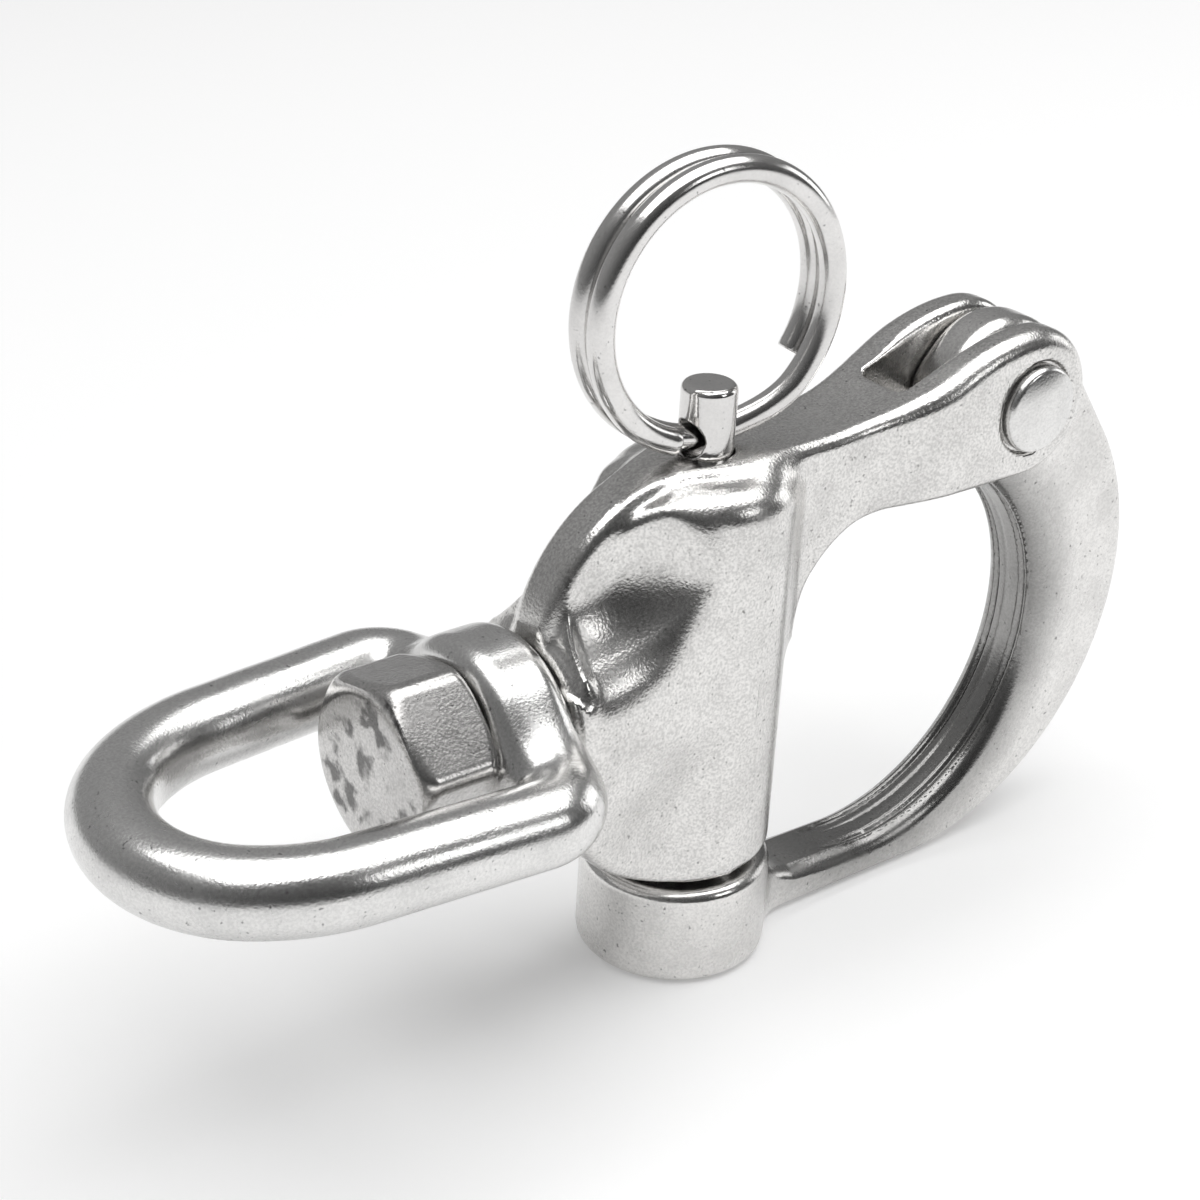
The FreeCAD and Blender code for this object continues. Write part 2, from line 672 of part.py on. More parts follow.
def plunger_spring():
    """The compression spring between the plunger's shoulder and the top of the bore."""
    wire = size("spring_wire")
    low = size("pin_shoulder") + wire / 2 + 0.05
    high = size("spring_top") - wire / 2 - 0.05
    helix = Part.makeHelix((high - low) / size("spring_turns"), high - low, size("spring_radius"))
    helix.translate(V(size("plunger_x"), 0, low))
    path = Part.Wire(helix.Edges)
    return node("plunger_spring", swept("PlungerSpring", path, wire / 2))


# ---------------------------------------------------------------- build, test and write
PIECES = [casting, gate, hinge_rivet, plunger, plunger_spring, split_ring, swivel_eye, swivel_bolt]
built = [make() for make in PIECES]
doc.recompute()
for item in doc.Objects:
    if "Invalid" in item.State or "Error" in item.State:
        raise RuntimeError("%s did not compute: %s" % (item.Name, item.State))
os.makedirs("parts", exist_ok=True)
for item in built:
    if item.Shape.isNull() or not item.Shape.isValid():
        raise RuntimeError("%s is not a valid shape" % item.Label)
    if len(item.Shape.Solids) != 1:
        raise RuntimeError("%s has %d solids" % (item.Label, len(item.Shape.Solids)))
    item.Shape.exportStep("parts/%s.step" % item.Label)
    print(item.Label, round(item.Shape.Volume, 2), len(item.Shape.Faces))
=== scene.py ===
"""Looks of the swivel-eye snap shackle: cast and forged surfaces, metal, floor, light and camera.

The surfaces are worked out in millimetres in the part's own frame, as distance fields whose rounded
unions and cuts give the soft edges of castings, and turned into meshes in metres.
"""
import bpy
import math
import numpy as np
from mathutils import Matrix, Vector


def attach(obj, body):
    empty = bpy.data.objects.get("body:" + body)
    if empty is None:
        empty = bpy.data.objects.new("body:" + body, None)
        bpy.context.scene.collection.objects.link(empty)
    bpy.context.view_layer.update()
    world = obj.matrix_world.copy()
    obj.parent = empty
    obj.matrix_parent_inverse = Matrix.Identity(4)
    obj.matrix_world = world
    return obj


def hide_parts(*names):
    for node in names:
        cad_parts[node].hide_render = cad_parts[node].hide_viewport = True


MM = 0.001
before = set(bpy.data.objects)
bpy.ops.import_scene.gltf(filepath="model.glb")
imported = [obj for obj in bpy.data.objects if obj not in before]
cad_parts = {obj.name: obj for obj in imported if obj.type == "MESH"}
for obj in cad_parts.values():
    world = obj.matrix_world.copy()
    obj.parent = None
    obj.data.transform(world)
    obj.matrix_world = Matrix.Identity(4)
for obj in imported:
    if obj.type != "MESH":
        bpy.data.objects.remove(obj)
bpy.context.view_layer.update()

# ---------------------------------------------------------------- sizes, in millimetres
# A pair is a place in X and Z. THROAT and DOME have the radius of their arc third.
PLUNGER_X = 40.4                # axis of the column, the plunger and the gate's boss
HINGE = (66.7, 15.0)
EAR_HALF = 5.15
EAR_RADIUS = 5.55
EAR_CLEARANCE = 0.6             # between the ears and the thick part of the jaw
THROAT = (57.2, -4.1, 15.3)
DOME = (38.2, 3.75, 12.35)
TAIL = 26.2                     # face of the barrel, next to the eye's boss
BODY_TOP = 16.1
RIM_STEP = 0.8                  # how far the rim stands out from the block inside it
BARREL_RADIUS = 6.3
COLUMN_RADIUS = 6.5
COLUMN_FOOT = -14.1
COLUMN_TOP = 15.3
COLUMN_SHOULDER = 2.4
SIDE_CURVE = 9.0                # above this height the block's sides curve in, and with this radius
SIDE_INSET = 2.8                # they stand this much less than that radius from the middle
DISH = (28.0, 12.2, 3.0)        # axis of the tall dish in X and Y, and its floor
DISH_RADIUS = 10.7
DISH_ROUND = 8.5
DISH_WALL = 1.3                 # left standing behind the tail face
HOLLOW = (34.8, 17.0, -9.0)     # centre of the shallow hollow's sphere in X, Y and Z
HOLLOW_RADIUS = 12.0
SLOT_HALF = 2.15
SLOT_TOP = (54.65, 23.0)        # blind end of the fork's slot, which leans
SLOT_LEAN = 0.2375
SEAT_SINK = 0.5
SEAT_RADIUS = 3.45
HEAD_HEIGHT = 1.7
HEAD_ROUND = 9.0
HEAD_RADIUS = 3.2
RIVET_RADIUS = 2.0
EAR_BORE = 2.01
KNUCKLE_BORE = 2.08
JAW_HALF = 2.8
KNUCKLE_HALF = 2.03
KNUCKLE_RADIUS = 5.45
KNUCKLE_TOP = 20.45
JAW_RELIEF = (67.2, 8.85)       # the thick jaw is cut off above and before this corner
GATE_FOOT = -22.25
BOSS_RADIUS = 6.8
BOSS_TOP = -14.7
SOCKET_RADIUS = 3.25
SOCKET_FLOOR = -18.9
BOLT_RADIUS = 3.0
BORE_RADIUS = 3.08              # for the bolt, in the barrel and in the eye's boss
BORE_END = 35.5
HEX_HALF = 5.9                  # half the width across the bolt head's flats
BOLT_ENDS = (14.9, 34.2)        # of the shank, the first inside the head
EYE_BOSS_RADIUS = 7.0
PIN_RADIUS = 3.1                # the plunger's thick part, and its hole in the column
PIN_BORE = 3.18
PIN_BORE_TOP = 9.0
STEM_RADIUS = 1.9               # the plunger's thin part, and its hole
STEM_BORE = 1.98
STEM_TOP = 20.8
EYELET_RADIUS = 1.3
EYELET_Z = 17.15


# ---------------------------------------------------------------- distance fields
def soft_min(a, b, k):
    """Union of two fields with a hollow blend of about k millimetres."""
    h = np.maximum(k - np.abs(a - b), 0.0) / k
    return np.minimum(a, b) - h * h * k * 0.25


def soft_max(a, b, k):
    """Intersection of two fields with its edge eased over about k millimetres."""
    return -soft_min(-a, -b, k)


def round_max(a, b, r):
    """Intersection of two fields with an edge rounded to radius r."""
    u = np.maximum(a + r, 0.0)
    w = np.maximum(b + r, 0.0)
    return np.minimum(np.maximum(a, b), -r) + np.sqrt(u * u + w * w)


def smooth_step(t):
    """Eased rise from 0 to 1 as t goes from 0 to 1."""
    t = np.clip(t, 0.0, 1.0)
    return t * t * (3 - 2 * t)


def arc_points(start, end, radius, side, step=0.35):
    """Points of the shorter arc from start to end, its centre to the left (side 1) or right (-1)."""
    start = np.array(start, float)
    end = np.array(end, float)
    chord = end - start
    length = np.hypot(*chord)
    rise = math.sqrt(max(radius ** 2 - (length / 2) ** 2, 0.0))
    normal = np.array([-chord[1], chord[0]]) / length
    centre = (start + end) / 2 + normal * rise * side
    first = math.atan2(start[1] - centre[1], start[0] - centre[0])
    turn = 2 * math.asin(min(length / 2 / radius, 1.0)) * side
    count = max(int(abs(turn) * radius / step), 4)
    angles = first + turn * np.arange(1, count + 1) / count
    return [(centre[0] + radius * math.cos(a), centre[1] + radius * math.sin(a)) for a in angles]


def profile(steps):
    """Closed outline from steps: (x, y) ends a line and (x, y, radius, side) an arc."""
    points = [steps[0][:2]]
    for step in steps[1:] + steps[:1]:
        if len(step) == 2:
            points.append(step)
        else:
            points += arc_points(points[-1], step[:2], step[2], step[3])
    return np.array(points[:-1], float)


def inside_outline(points, x, y):
    """Signed distance in the plane to a closed outline, negative inside."""
    x, y = np.broadcast_arrays(x, y)
    best = np.full(x.shape, 1e9)
    winding = np.zeros(x.shape, bool)
    for a, b in zip(points, np.roll(points, -1, axis=0)):
        e = b - a
        wx = x - a[0]
        wy = y - a[1]
        t = np.clip((wx * e[0] + wy * e[1]) / (e @ e + 1e-12), 0.0, 1.0)
        best = np.minimum(best, (wx - e[0] * t) ** 2 + (wy - e[1] * t) ** 2)
        crosses = (a[1] <= y) != (b[1] <= y)
        if e[1] != 0.0:
            winding ^= crosses & (wx < wy * e[0] / e[1])
    return np.sqrt(best) * np.where(winding, -1.0, 1.0)


def capped(radial, along, low, high, edge):
    """A solid of a radial distance, cut off between low and high, its edges rounded."""
    return round_max(radial, np.abs(along - (low + high) / 2) - (high - low) / 2, edge)


# ---------------------------------------------------------------- meshes from fields
def sampled(field, low, high, step):
    """Vertices and quads of a field's zero surface, one vertex to each cell that it passes."""
    axes = [np.arange(low[i] - 2 * step, high[i] + 3 * step, step) for i in range(3)]
    x = axes[0][:, None, None]
    y = axes[1][None, :, None]
    z = axes[2][None, None, :]
    value = np.broadcast_to(field(x, y, z), tuple(len(a) for a in axes)).astype(np.float64)
    value = np.where(value == 0.0, 1e-9, value)
    solid = value < 0
    shape = tuple(n - 1 for n in value.shape)
    corners = sum(solid[i:i + shape[0], j:j + shape[1], k:k + shape[2]].astype(np.int8)
                  for i in (0, 1) for j in (0, 1) for k in (0, 1))
    active = (corners > 0) & (corners < 8)
    index = np.full(shape, -1, np.int64)
    count = int(active.sum())
    index[active] = np.arange(count)
    total = np.zeros(shape + (3,))
    hits = np.zeros(shape)
    quads = []
    for axis in range(3):
        others = [i for i in range(3) if i != axis]
        a = np.moveaxis(value, axis, 0)
        crossing = (a[:-1] < 0) != (a[1:] < 0)
        share = np.where(crossing, a[:-1] / np.where(crossing, a[:-1] - a[1:], 1.0), 0.0)
        crossing = np.moveaxis(crossing, 0, axis)
        share = np.moveaxis(share, 0, axis)
        for p in (0, 1):
            for q in (0, 1):
                cells = [slice(None)] * 3
                cells[others[0]] = slice(p, p + shape[others[0]])
                cells[others[1]] = slice(q, q + shape[others[1]])
                hit = crossing[tuple(cells)]
                hits += hit
                total[..., axis] += share[tuple(cells)]
                total[..., others[0]] += p * hit
                total[..., others[1]] += q * hit
        spots = np.argwhere(crossing)
        keep = (spots[:, others[0]] > 0) & (spots[:, others[1]] > 0)
        keep &= (spots[:, others[0]] < shape[others[0]]) & (spots[:, others[1]] < shape[others[1]])
        spots = spots[keep]
        ring = []
        for p, q in ((1, 1), (0, 1), (0, 0), (1, 0)):
            cell = spots.copy()
            cell[:, others[0]] -= p
            cell[:, others[1]] -= q
            ring.append(index[tuple(cell.T)])
        ring = np.stack(ring, axis=1)
        outward = solid[tuple(spots.T)]
        if axis == 1:
            outward = ~outward
        ring[~outward] = ring[~outward][:, ::-1]
        quads.append(ring)
    origin = np.array([a[0] for a in axes])
    where = np.argwhere(active)
    points = origin + (where + total[active] / hits[active][:, None]) * step
    return points, np.concatenate(quads)


def gradient(field, points, reach=0.02):
    """Value and gradient of a field at points."""
    x, y, z = points.T
    value = field(x, y, z)
    slope = np.empty_like(points)
    for axis in range(3):
        ahead = points.copy()
        ahead[:, axis] += reach
        behind = points.copy()
        behind[:, axis] -= reach
        slope[:, axis] = (field(*ahead.T) - field(*behind.T)) / (2 * reach)
    return value, slope


def settled(field, points, step):
    """Points moved onto the zero surface, and the surface's normals there."""
    for _ in range(2):
        value, slope = gradient(field, points)
        size = np.maximum((slope ** 2).sum(axis=1), 0.05)
        move = -slope * (value / size)[:, None]
        length = np.linalg.norm(move, axis=1)
        move *= np.minimum(1.0, 0.6 * step / np.maximum(length, 1e-9))[:, None]
        points = points + move
    slope = gradient(field, points, 0.06)[1]
    return points, slope / np.maximum(np.linalg.norm(slope, axis=1), 1e-9)[:, None]


def piece(name, field, low, high, step, turn=None):
    """An object whose surface is a field's zero, in metres in the part's frame."""
    points, quads = sampled(field, low, high, step)
    points, normals = settled(field, points, step)
    if turn is not None:
        matrix = np.array(turn)
        points = points @ matrix.T
        normals = normals @ matrix.T
    mesh = bpy.data.meshes.new(name)
    mesh.from_pydata((points * MM).tolist(), [], quads.tolist())
    mesh.validate()
    mesh.shade_smooth()
    if len(mesh.vertices) == len(normals):
        mesh.normals_split_custom_set_from_vertices(normals.tolist())
    item = bpy.data.objects.new(name, mesh)
    bpy.context.scene.collection.objects.link(item)
    return item


# ---------------------------------------------------------------- the casting
SPINE = profile([
    (TAIL, 0.0),
    (TAIL, DOME[1] + math.sqrt(DOME[2] ** 2 - (DOME[0] - TAIL) ** 2)),
    (DOME[0], BODY_TOP, DOME[2], -1),
    (48.0, BODY_TOP),
    (59.6, 18.9, 25.4, 1),
    (HINGE[0], HINGE[1] + EAR_RADIUS, 16.1, -1),
    (HINGE[0] + EAR_RADIUS, HINGE[1], EAR_RADIUS, -1),
    (HINGE[0], HINGE[1] - EAR_RADIUS, EAR_RADIUS, -1),
    (54.6, HINGE[1] - EAR_RADIUS),
    (46.7, 1.65, 8.0, 1),
    (PLUNGER_X, 0.0),
])
BLOCK = profile([
    (TAIL, -6.6, 17.0, -1),
    (TAIL, DOME[1]),
    (DOME[0] - DOME[2] + RIM_STEP, DOME[1]),
    (DOME[0], BODY_TOP - RIM_STEP, DOME[2] - RIM_STEP, -1),
    (PLUNGER_X, BODY_TOP - RIM_STEP),
    (PLUNGER_X, COLUMN_FOOT),
    (38.5, COLUMN_FOOT),
])


def casting_field(x, y, z):
    """Barrel, column, dished block, rim, arm and fork, less the slot and the holes."""
    across = np.abs(y)
    reach = np.hypot(x - PLUNGER_X, y)
    lean = np.sqrt(np.maximum(SIDE_CURVE ** 2 - np.maximum(z - SIDE_CURVE, 0.0) ** 2, 1.0)) - SIDE_INSET
    block = round_max(inside_outline(BLOCK, x, z), across - lean, 1.2)
    barrel = round_max(np.hypot(y, z) - BARREL_RADIUS, TAIL - x, 0.7)
    barrel = np.maximum(barrel, x - PLUNGER_X)
    block = soft_min(block, barrel, 0.8)
    dish = np.hypot(x - DISH[0], across - DISH[1]) - DISH_RADIUS
    dish = round_max(dish, DISH[2] - z, DISH_ROUND)
    dish = round_max(dish, TAIL + DISH_WALL - x, 1.0)
    block = soft_max(block, -dish, 0.9 + 1.2 * smooth_step((9.0 - z) / 5.0))
    hollow = np.sqrt((x - HOLLOW[0]) ** 2 + (across - HOLLOW[1]) ** 2 + (z - HOLLOW[2]) ** 2)
    hollow = hollow - HOLLOW_RADIUS
    block = soft_max(block, -hollow, 1.2)

    half = 1.9 + 1.7 * smooth_step((x - 33.0) / 8.5) + 1.55 * smooth_step((x - 51.0) / 9.0)
    edge = 0.95 + 0.45 * smooth_step((x - 52.0) / 8.0)
    spine = round_max(inside_outline(SPINE, x, z), across - half, edge)

    column = round_max(reach - COLUMN_RADIUS, z - COLUMN_TOP, COLUMN_SHOULDER)
    column = round_max(column, COLUMN_FOOT - z, 1.3)
    blend = 0.6 + 1.0 * smooth_step((x - 38.0) / 5.0)
    body = soft_min(soft_min(block, spine, 0.5), column, blend)

    slot_end = SLOT_TOP[0] + (SLOT_TOP[1] - z) * SLOT_LEAN
    slot = round_max(slot_end - x, across - SLOT_HALF, 0.9)
    body = round_max(body, -slot, 0.2 + 0.6 * smooth_step((x - 57.0) / 5.0))

    seat_depth = EAR_HALF - SEAT_SINK - across
    pivot = np.hypot(x - HINGE[0], z - HINGE[1])
    body = round_max(body, -np.maximum(pivot - SEAT_RADIUS, seat_depth), 0.15)
    body = np.maximum(body, EAR_BORE - pivot)
    bore = np.maximum(reach - PIN_BORE, z - PIN_BORE_TOP)
    stem = reach - STEM_BORE
    bolt = np.maximum(np.hypot(y, z) - BORE_RADIUS, x - BORE_END)
    return round_max(body, -np.minimum(np.minimum(bore, stem), bolt), 0.2)


# ---------------------------------------------------------------- the gate
GATE = profile([
    (62.9, 10.15),
    (THROAT[0] + THROAT[2], THROAT[1], THROAT[2], -1),
    (THROAT[0], THROAT[1] - THROAT[2], THROAT[2], -1),
    (50.0, -19.2),
    (43.0, -17.0),
    (43.0, GATE_FOOT),
    (61.7, GATE_FOOT),
    (81.9, -2.05, 20.2, 1),
    (78.2, 9.6, 20.2, 1),
    (72.5, 17.5),
    (67.0, KNUCKLE_TOP, 7.0, 1),
    (HINGE[0], KNUCKLE_TOP),
    (HINGE[0] - KNUCKLE_RADIUS, HINGE[1], KNUCKLE_RADIUS, 1),
])


def gate_field(x, y, z):
    """Knuckle, curved jaw with a grooved throat, and the boss with its socket."""
    across = np.abs(y)
    side = inside_outline(GATE, x, z)
    throat = np.hypot(x - THROAT[0], z - THROAT[1])
    groove = 0.3 * np.exp(-((across - 1.3) / 0.2) ** 2) + 0.07 * np.exp(-((y - 0.25) / 0.2) ** 2)
    side = np.maximum(side, (THROAT[2] + groove - throat) * (z < 8.5) - 5.0 * (z >= 8.5))
    pivot = np.hypot(x - HINGE[0], z - HINGE[1])
    jaw = round_max(side, across - JAW_HALF, 1.0 + 0.5 * smooth_step((17.6 - throat) / 1.5))
    jaw = round_max(jaw, EAR_RADIUS + EAR_CLEARANCE - pivot, 0.6)
    jaw = round_max(jaw, np.minimum(JAW_RELIEF[0] - x, z - JAW_RELIEF[1]), 0.5)
    knuckle = round_max(side, across - KNUCKLE_HALF, 0.4 + 0.9 * smooth_step((z - 15.5) / 3.0))
    body = np.minimum(jaw, knuckle)
    reach = np.hypot(x - PLUNGER_X, y)
    boss = capped(reach - BOSS_RADIUS, z, GATE_FOOT, BOSS_TOP, 0.9)
    body = soft_min(body, boss, 2.2)
    body = np.maximum(body, GATE_FOOT - z)
    socket = np.maximum(reach - SOCKET_RADIUS, SOCKET_FLOOR - z)
    body = round_max(body, -socket, 0.3)
    return np.maximum(body, KNUCKLE_BORE - pivot)


# ---------------------------------------------------------------- the eye, its bolt and the small pieces
EYE_BAR = 2.8
BOSS_X = (20.3, 25.9)


def eye_line():
    """Centre line of half the eye, from the crown round to the bar through the boss, in X and Y."""
    tip = 8.6
    shoulder = 14.0
    corner = 3.1
    half_arc = math.radians(55)
    lean = math.radians(4.8)
    bar_x = (BOSS_X[0] + BOSS_X[1]) / 2
    centre = (tip - EYE_BAR, 0.0)
    points = [(centre[0] - tip * math.cos(a), tip * math.sin(a)) for a in np.linspace(0, half_arc, 22)]
    middle = (centre[0] + (shoulder - tip) * math.cos(half_arc), -(shoulder - tip) * math.sin(half_arc))
    for a in np.linspace(math.pi - half_arc, math.pi / 2 + lean, 14)[1:]:
        points.append((middle[0] + shoulder * math.cos(a), middle[1] + shoulder * math.sin(a)))
    start = points[-1]
    run = (bar_x - corner - corner * math.sin(lean) - start[0]) / math.cos(lean)
    end = (start[0] + run * math.cos(lean), start[1] + run * math.sin(lean))
    points.append(end)
    round_centre = (end[0] + corner * math.sin(lean), end[1] - corner * math.cos(lean))
    for a in np.linspace(math.pi / 2 + lean, 0, 14)[1:]:
        points.append((round_centre[0] + corner * math.cos(a), round_centre[1] + corner * math.sin(a)))
    points.append((bar_x, 0.0))
    return np.array(points)


EYE_LINE = eye_line()


def eye_field(x, y, z):
    """The bent bar cast in one with its bored boss."""
    x, across = np.broadcast_arrays(x, np.abs(y))
    best = np.full(x.shape, 1e9)
    for a, b in zip(EYE_LINE[:-1], EYE_LINE[1:]):
        e = b - a
        t = np.clip(((x - a[0]) * e[0] + (across - a[1]) * e[1]) / (e @ e), 0.0, 1.0)
        best = np.minimum(best, (x - a[0] - e[0] * t) ** 2 + (across - a[1] - e[1] * t) ** 2)
    bar = np.sqrt(best + z * z) - EYE_BAR
    radial = np.hypot(across, z)
    boss = capped(radial - EYE_BOSS_RADIUS, x, BOSS_X[0], BOSS_X[1], 1.6)
    body = soft_min(bar, boss, 2.7)
    body = round_max(body, x - BOSS_X[1], 0.3)
    return round_max(body, np.minimum(BORE_RADIUS - radial, x - 15.0), 0.25)


def bolt_field(x, y, z):
    """Hex head with a chamfered face, and the shank."""
    flats = np.full(np.broadcast(x, y, z).shape, -1e9)
    for k in range(3):
        angle = math.radians(75 + 60 * k)
        flats = soft_max(flats, np.abs(y * math.cos(angle) + z * math.sin(angle)) - HEX_HALF, 0.7)
    radial = np.hypot(y, z)
    head = round_max(flats, np.abs(x - 17.0) - 3.1, 0.25)
    chamfer = (radial - 5.75 - (x - 13.9) * 1.1) / 1.49
    head = soft_max(head, chamfer, 0.5)
    rear = (radial - HEX_HALF - (20.1 - x) * 1.3) / 1.64
    head = soft_max(head, rear, 0.4)
    shank = np.maximum(np.maximum(radial - BOLT_RADIUS, BOLT_ENDS[0] - x), x - BOLT_ENDS[1])
    return np.minimum(head, shank)


def plunger_field(x, y, z):
    """Thick pin below, thin stem above with a rounded top and the eyelet."""
    reach = np.hypot(x - PLUNGER_X, y)
    pin = capped(reach - PIN_RADIUS, z, -18.2, -3.0, 0.5)
    stem = round_max(np.maximum(reach - STEM_RADIUS, -4.0 - z), z - STEM_TOP, 0.5)
    body = np.minimum(pin, stem)
    return round_max(body, EYELET_RADIUS - np.hypot(y, z - EYELET_Z), 0.22)


def rivet_field(x, y, z):
    """The hinge pin, domed over at both ends."""
    across = np.abs(y)
    pivot = np.hypot(x - HINGE[0], z - HINGE[1])
    seat = EAR_HALF - SEAT_SINK
    dome = np.sqrt(pivot ** 2 + (across - (seat + HEAD_HEIGHT - HEAD_ROUND)) ** 2) - HEAD_ROUND
    head = round_max(round_max(dome, pivot - HEAD_RADIUS, 0.3), seat - across, 0.05)
    shank = np.maximum(pivot - RIVET_RADIUS, across - seat - 0.05)
    return np.minimum(head, shank)


def ring_piece():
    """Two coils of wire side by side, which cross to pass one at a time through the eyelet."""
    radius = 9.13
    offset = 0.98
    wire = 0.92
    sides = 40
    count = 420
    yaw = math.radians(-4)
    angles = np.radians(np.linspace(-33.0, 612.0, count))
    away = np.clip((np.abs(angles - math.radians(270)) - math.radians(9)) / math.radians(38), 0.0, 1.0)
    shift = offset * smooth_step(away) * np.where(angles < math.radians(270), 1.0, -1.0)
    line = np.stack([radius * np.cos(angles) - 0.45, shift, radius * np.sin(angles)], axis=1)
    turn = np.array([[math.cos(yaw), -math.sin(yaw), 0], [math.sin(yaw), math.cos(yaw), 0], [0, 0, 1]])
    line = line @ turn.T + np.array([PLUNGER_X, 0.0, EYELET_Z + radius])
    tangent = np.gradient(line, axis=0)
    tangent /= np.linalg.norm(tangent, axis=1)[:, None]
    sideways = np.tile(turn @ np.array([0.0, 1.0, 0.0]), (count, 1))
    outward = np.cross(tangent, sideways)
    outward /= np.linalg.norm(outward, axis=1)[:, None]
    sideways = np.cross(outward, tangent)
    rows = []
    # Index along the line, how far back from it, and the wire's radius there: rounded at both ends.
    ends = [(0, 0.0, wire - 0.12), (0, 0.035, wire - 0.035), (0, 0.12, wire)]
    rings = list(ends)
    rings += [(i, 0.0, wire) for i in range(2, count - 2)]
    rings += [(count - 1, -back, size) for _, back, size in reversed(ends)]
    spokes = np.linspace(0, 2 * math.pi, sides, endpoint=False)
    for i, back, size in rings:
        around = np.outer(np.cos(spokes), outward[i]) + np.outer(np.sin(spokes), sideways[i])
        rows.append(line[i] + tangent[i] * back + around * size)
    points = np.concatenate(rows)
    faces = []
    levels = len(rows)
    for row in range(levels - 1):
        for k in range(sides):
            n = (k + 1) % sides
            faces.append((row * sides + k, (row + 1) * sides + k, (row + 1) * sides + n, row * sides + n))
    faces.append(tuple(range(sides)))
    faces.append(tuple(reversed(range((levels - 1) * sides, levels * sides))))
    mesh = bpy.data.meshes.new("split_ring_wire")
    mesh.from_pydata((points * MM).tolist(), [], faces)
    mesh.shade_smooth()
    mesh.polygons[len(faces) - 1].use_smooth = False
    mesh.polygons[len(faces) - 2].use_smooth = False
    item = bpy.data.objects.new("split_ring_wire", mesh)
    bpy.context.scene.collection.objects.link(item)
    return item


# ---------------------------------------------------------------- metal
STAIN = 0.1                     # how much darker the stained patches are
CAST_TONE = (0.80, 0.79, 0.775)
BOLT_FACE = 0.01425             # in metres, just behind the bolt's end face


def nodes_of(owner):
    """The emptied nodes and links of a material or a world."""
    owner.use_nodes = True
    tree = owner.node_tree
    tree.nodes.clear()
    return tree.nodes, tree.links


def noise(nodes, links, where, scale, detail=2.0):
    """Noise over the object's own space, scale features to the metre."""
    texture = nodes.new("ShaderNodeTexNoise")
    texture.inputs["Scale"].default_value = scale
    texture.inputs["Detail"].default_value = detail
    links.new(where.outputs["Object"], texture.inputs["Vector"])
    return texture


def ramp(nodes, links, source, low, high, dark, light):
    """Two-tone colour ramp over a value."""
    shades = nodes.new("ShaderNodeValToRGB")
    first, last = shades.color_ramp.elements
    first.position = low
    first.color = tuple(dark) + (1.0,)
    last.position = high
    last.color = tuple(light) + (1.0,)
    links.new(source, shades.inputs["Fac"])
    return shades


def times(nodes, links, a, b):
    """Product of two colours."""
    mix = nodes.new("ShaderNodeMix")
    mix.data_type = "RGBA"
    mix.blend_type = "MULTIPLY"
    mix.inputs["Factor"].default_value = 1.0
    links.new(a, mix.inputs[6])
    links.new(b, mix.inputs[7])
    return mix.outputs[2]


def bump(nodes, links, height, strength, distance, below=None):
    """Relief from a texture, on top of another relief."""
    relief = nodes.new("ShaderNodeBump")
    relief.inputs["Strength"].default_value = strength
    relief.inputs["Distance"].default_value = distance
    links.new(height, relief.inputs["Height"])
    if below is not None:
        links.new(below.outputs["Normal"], relief.inputs["Normal"])
    return relief


def painted_throat_shade(nodes, links, where, colour):
    """Painted shade: the colour darkened inside the gate's round throat."""
    flat = nodes.new("ShaderNodeVectorMath")
    flat.operation = "MULTIPLY"
    flat.inputs[1].default_value = (1.0, 0.0, 1.0)
    links.new(where.outputs["Object"], flat.inputs[0])
    away = nodes.new("ShaderNodeVectorMath")
    away.operation = "DISTANCE"
    away.inputs[1].default_value = (THROAT[0] * MM, 0.0, THROAT[1] * MM)
    links.new(flat.outputs["Vector"], away.inputs[0])
    start = (THROAT[2] + 0.4) * MM
    shade = ramp(nodes, links, away.outputs["Value"], start, start + 0.6 * MM, [0.42] * 3, [1.0] * 3)
    return times(nodes, links, colour, shade.outputs["Color"])


def end_blots(nodes, links, where, colour, end):
    """Dark blotches on the faces that lie before end in X."""
    smears = noise(nodes, links, where, scale=480.0, detail=5.0)
    blots = ramp(nodes, links, smears.outputs["Fac"], 0.41, 0.5, [0.3] * 3, [1.0] * 3)
    place = nodes.new("ShaderNodeSeparateXYZ")
    links.new(where.outputs["Object"], place.inputs["Vector"])
    only_end = nodes.new("ShaderNodeMath")
    only_end.operation = "LESS_THAN"
    only_end.inputs[1].default_value = end
    links.new(place.outputs["X"], only_end.inputs[0])
    pick = nodes.new("ShaderNodeMix")
    pick.data_type = "RGBA"
    links.new(only_end.outputs["Value"], pick.inputs["Factor"])
    links.new(colour, pick.inputs[6])
    links.new(times(nodes, links, colour, blots.outputs["Color"]), pick.inputs[7])
    return pick.outputs[2]


def spread(nodes, links, source, span, low, high):
    """A value taken from the span and stretched from low to high."""
    change = nodes.new("ShaderNodeMapRange")
    change.inputs["From Min"].default_value = span[0]
    change.inputs["From Max"].default_value = span[1]
    change.inputs["To Min"].default_value = low
    change.inputs["To Max"].default_value = high
    links.new(source, change.inputs["Value"])
    return change.outputs["Result"]


def worn_roughness(nodes, links, cloud, shine, worn):
    """Roughness: duller in patches, and polished where edges are rubbed."""
    dull = spread(nodes, links, cloud.outputs["Fac"], (0.3, 0.7), shine * 1.3, shine * 0.8)
    shape = nodes.new("ShaderNodeNewGeometry")
    rub = spread(nodes, links, shape.outputs["Pointiness"], (0.5, 0.56), 0.0, worn)
    left = nodes.new("ShaderNodeMath")
    left.operation = "SUBTRACT"
    left.use_clamp = True
    links.new(dull, left.inputs[0])
    links.new(rub, left.inputs[1])
    return left.outputs["Value"]


